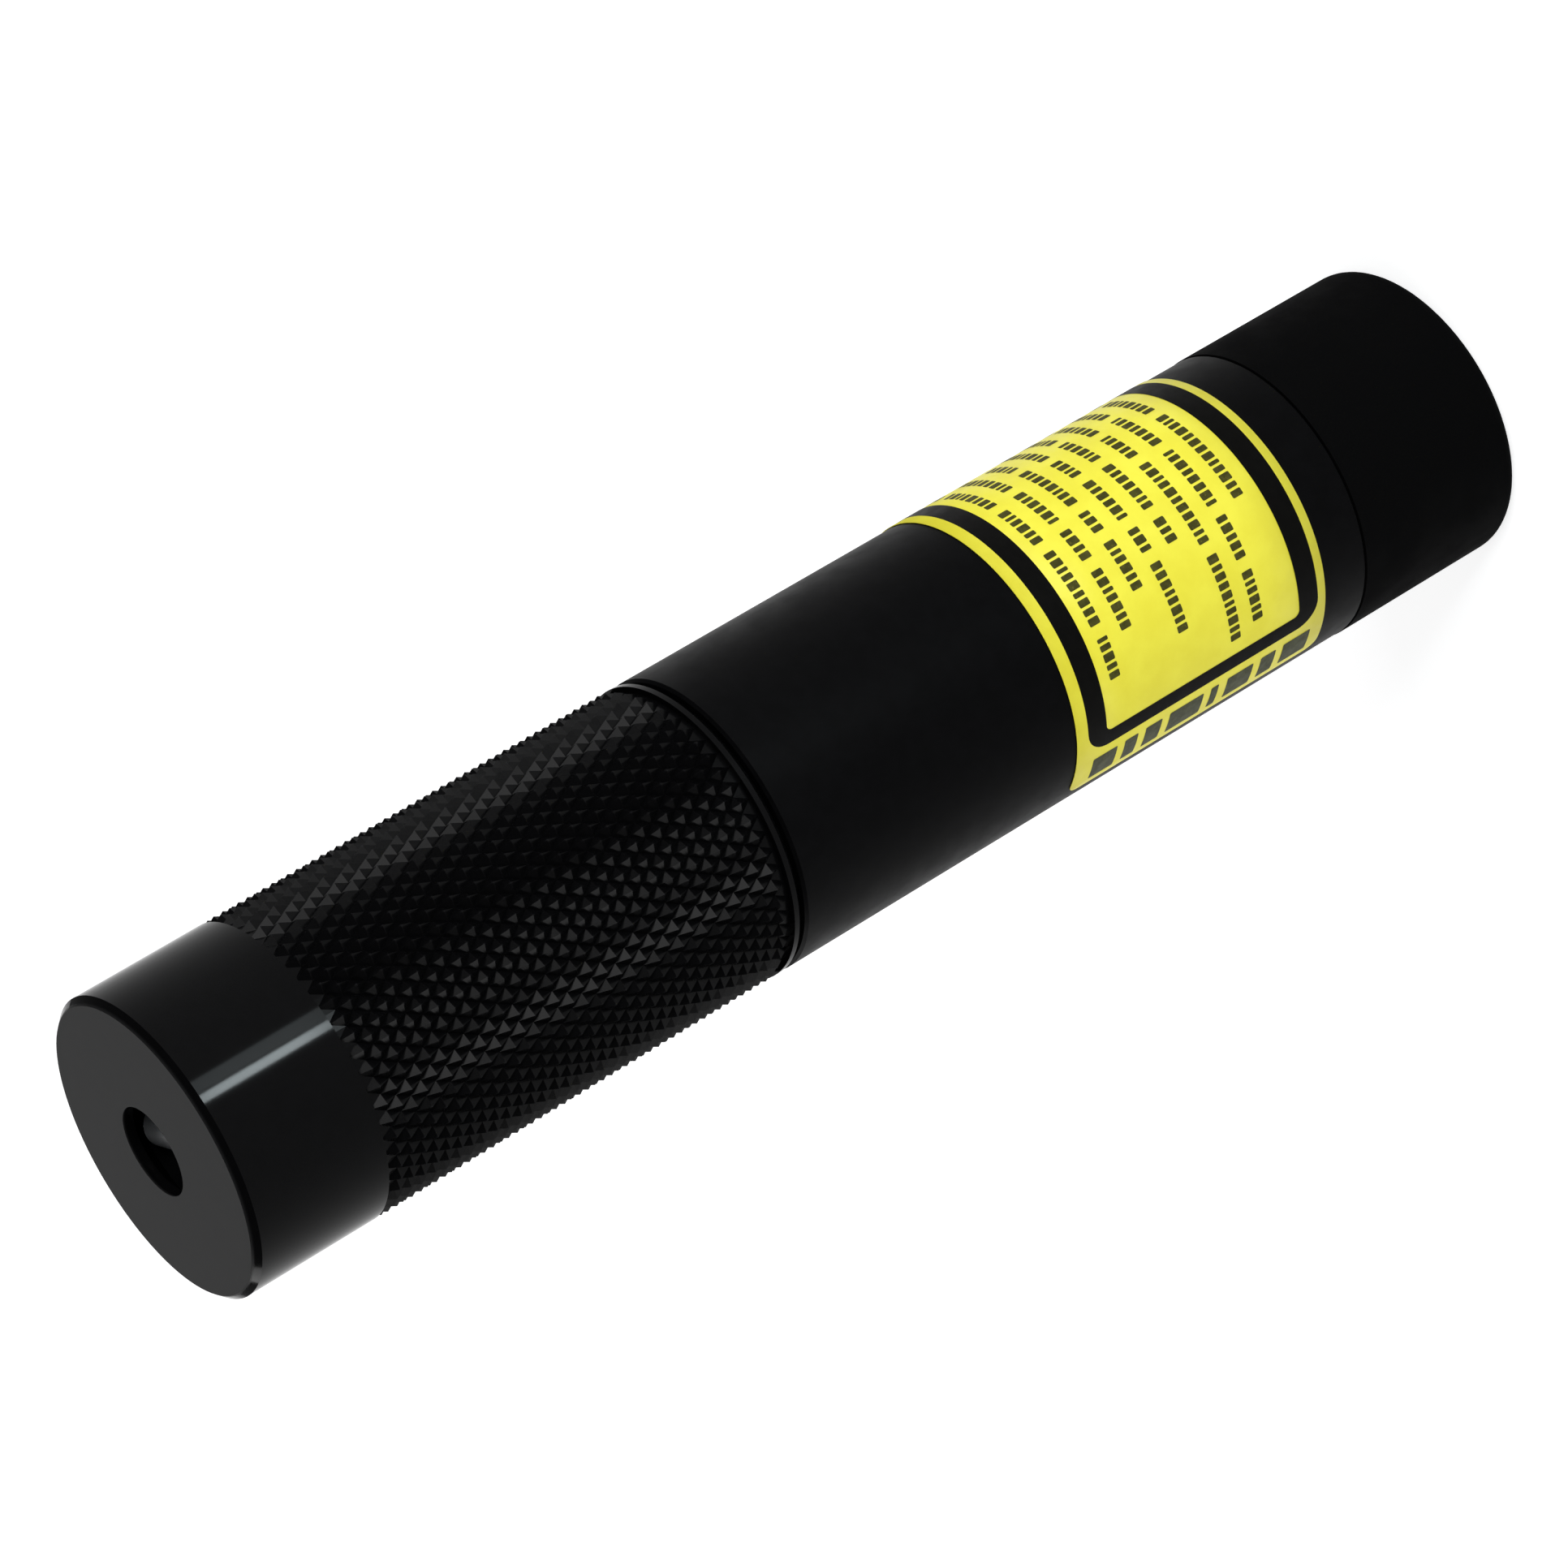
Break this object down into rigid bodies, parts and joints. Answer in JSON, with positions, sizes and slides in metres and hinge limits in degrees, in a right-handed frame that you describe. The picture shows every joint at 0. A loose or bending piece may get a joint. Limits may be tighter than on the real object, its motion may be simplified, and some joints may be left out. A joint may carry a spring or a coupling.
{
  "type": "laser diode module",
  "caption": "Slim black barrel laser with a knurled head that turns to focus, a wrapped yellow label, a round aperture in front and a power inlet in the tail cap.",
  "frame": {"origin": "centre of the flat tail face that the module stands on", "axes": "+Z along the beam, from the tail to the front face; -Y to the side that the picture shows"},
  "size_m": [0.0221, 0.0221, 0.11],
  "materials": {
    "head_anodised": "black anodised, glossy",
    "barrel_anodised": "black anodised, satin",
    "inner_anodised": "black anodised, matte",
    "spring_steel": "drawn wire",
    "seal_rubber": "matte",
    "cell_brass": "turned",
    "lens_glass": "polished",
    "diode_metal": "gold flashed",
    "sleeve_plastic": "natural, matte",
    "board_laminate": "green laminate",
    "chip_plastic": "matte",
    "capacitor_can": "drawn",
    "trim_plastic": "blue, matte",
    "resistor_ceramic": "glazed",
    "label_film": "yellow film with black print, semi-gloss",
    "cap_plastic": "black, very matte",
    "socket_plastic": "black, moulded",
    "contact_metal": "nickel plated",
    "wire_red": "smooth insulation",
    "wire_black": "smooth insulation"
  },
  "bodies": {
    "housing": {"body_tube": "barrel_anodised", "label": "label_film", "snap_ring": "spring_steel", "head_o_ring": "seal_rubber", "diode_holder": "cell_brass", "laser_diode": "diode_metal", "diode_clamp_ring": "cell_brass", "preload_spring": "spring_steel", "board_sleeve": "sleeve_plastic", "driver_board": "board_laminate", "driver_chip": "chip_plastic", "filter_capacitor": "capacitor_can", "trim_pot": "trim_plastic", "protection_diode": "chip_plastic", "chip_resistors": "resistor_ceramic", "tail_cap": "cap_plastic", "tail_o_ring": "seal_rubber", "socket_body": "socket_plastic", "socket_pin": "contact_metal", "socket_contact": "contact_metal", "socket_nut": "contact_metal", "wire_red": "wire_red", "wire_black": "wire_black"},
    "focus_head": {"focus_head": "head_anodised"},
    "lens_cell": {"lens_cell": "inner_anodised", "collimator_lens": "lens_glass", "collimator_ring": "inner_anodised", "line_lens": "lens_glass", "line_lens_mount": "inner_anodised"}
  },
  "joints": [
    {"name": "focus_turn", "type": "hinge", "parent": "housing", "child": "focus_head", "pos_m": [0, 0, 0.0775], "axis": [0, 0, 1], "range_deg": [-180, 180]},
    {"name": "lens_travel", "type": "slide", "parent": "housing", "child": "lens_cell", "axis": [0, 0, 1], "range_m": [-0.00038, 0.00038], "deforming": ["preload_spring"]}
  ],
  "couplings": [
    {"joint": "lens_travel", "follows": "focus_turn", "m_per_rad": 0.00011937}
  ]
}
